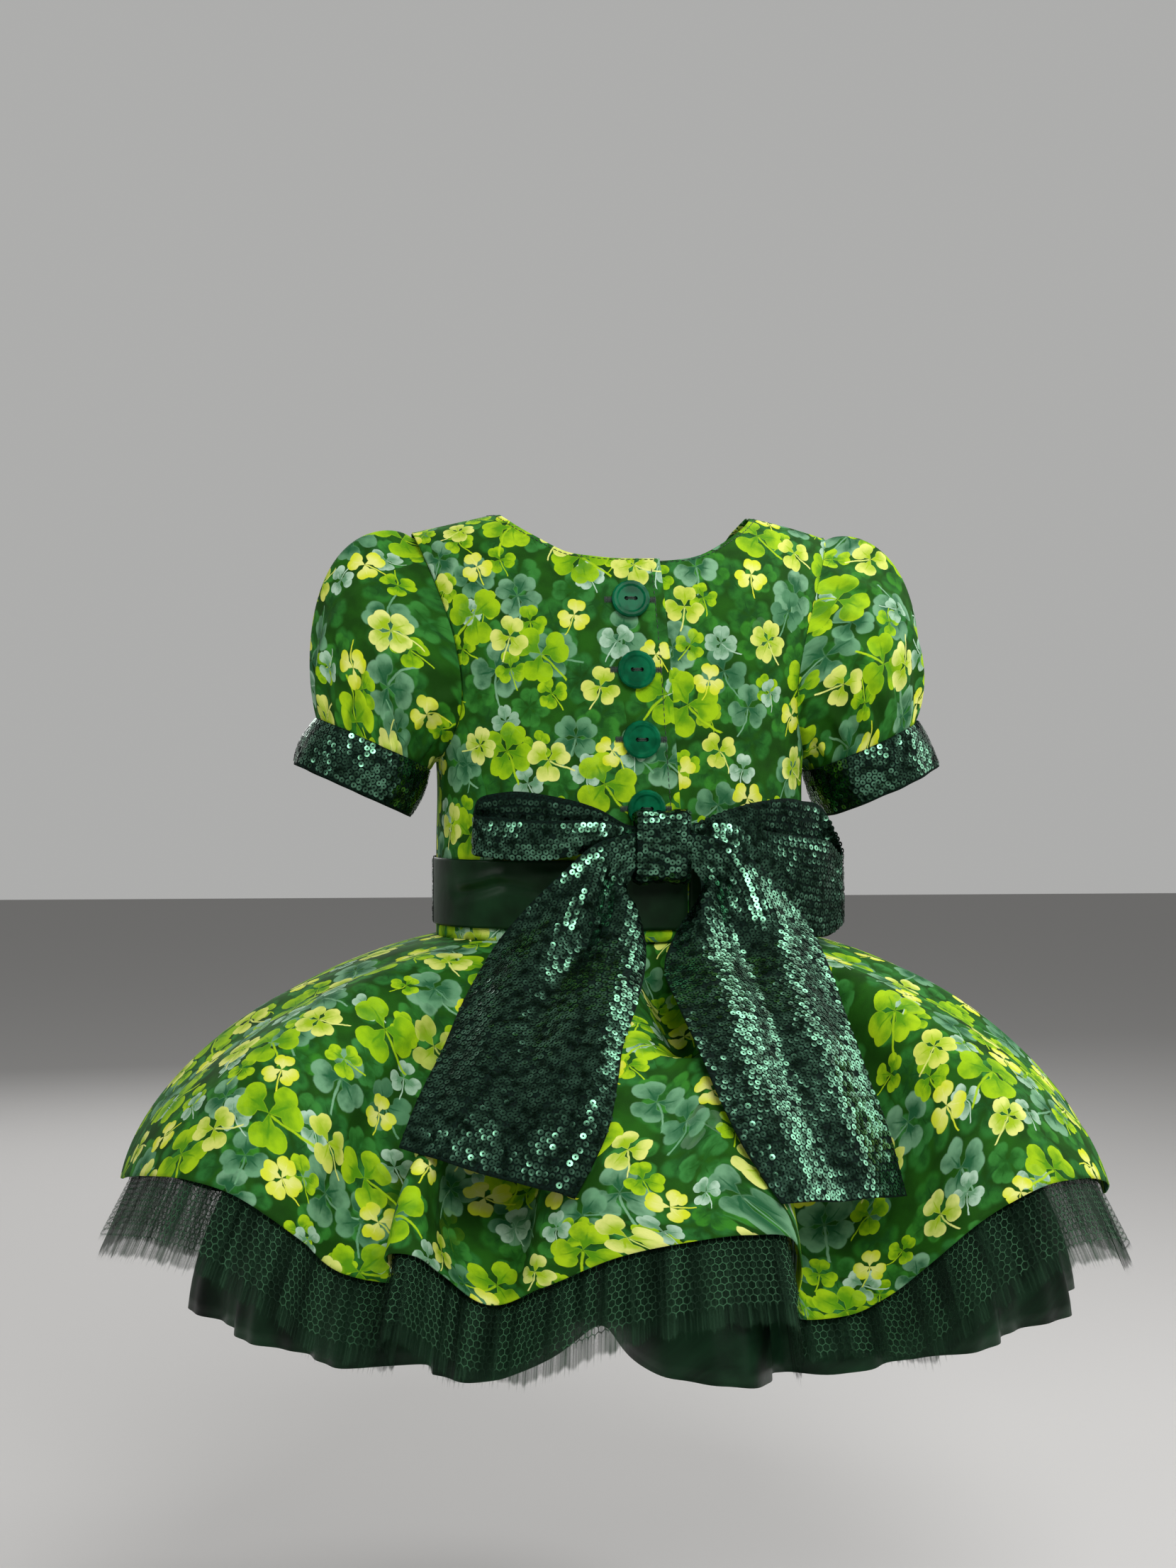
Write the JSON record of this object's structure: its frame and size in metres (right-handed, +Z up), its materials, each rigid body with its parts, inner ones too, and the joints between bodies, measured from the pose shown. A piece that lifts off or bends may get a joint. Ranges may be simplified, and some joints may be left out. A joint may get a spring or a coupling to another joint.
{
  "type": "toddler's party dress",
  "caption": "Short dress with a buttoned back, puffed sleeves with sequinned cuffs, a sash with a large bow, and a full circle skirt over a net and satin petticoat.",
  "frame": {"origin": "between the shoulder seams at the neck, where the wearer's shoulders carry the dress", "axes": "+Z up the standing wearer, -Y towards the buttoned back, +X towards the wearer's right"},
  "size_m": [0.5183, 0.5127, 0.4132],
  "materials": {
    "print_cotton": "matte cotton with a clover print in greens",
    "sequin_cloth": "mesh cloth covered with glossy dark green sequins",
    "satin": "dark green satin with a soft sheen",
    "net": "fine dark green hexagonal net",
    "button_plastic": "glossy green plastic"
  },
  "bodies": {
    "root": {"bodice_front": "print_cotton", "bodice_back_left": "print_cotton", "bodice_back_right": "print_cotton", "sash_front": "sequin_cloth", "sash_back_left": "satin", "sash_back_right": "satin", "sleeve_left": "print_cotton", "sleeve_right": "print_cotton", "cuff_left": "sequin_cloth", "cuff_right": "sequin_cloth", "skirt_front": "print_cotton", "skirt_back": "print_cotton", "petticoat_net_front": "net", "petticoat_net_back": "net", "petticoat_ruffle_front": "satin", "petticoat_ruffle_back": "satin", "bow_knot": "sequin_cloth", "bow_loop_left": "sequin_cloth", "bow_loop_right": "sequin_cloth", "bow_tail_left": "sequin_cloth", "bow_tail_right": "sequin_cloth", "button_1": "button_plastic", "button_2": "button_plastic", "button_3": "button_plastic", "button_4": "button_plastic"}
  },
  "joints": []
}
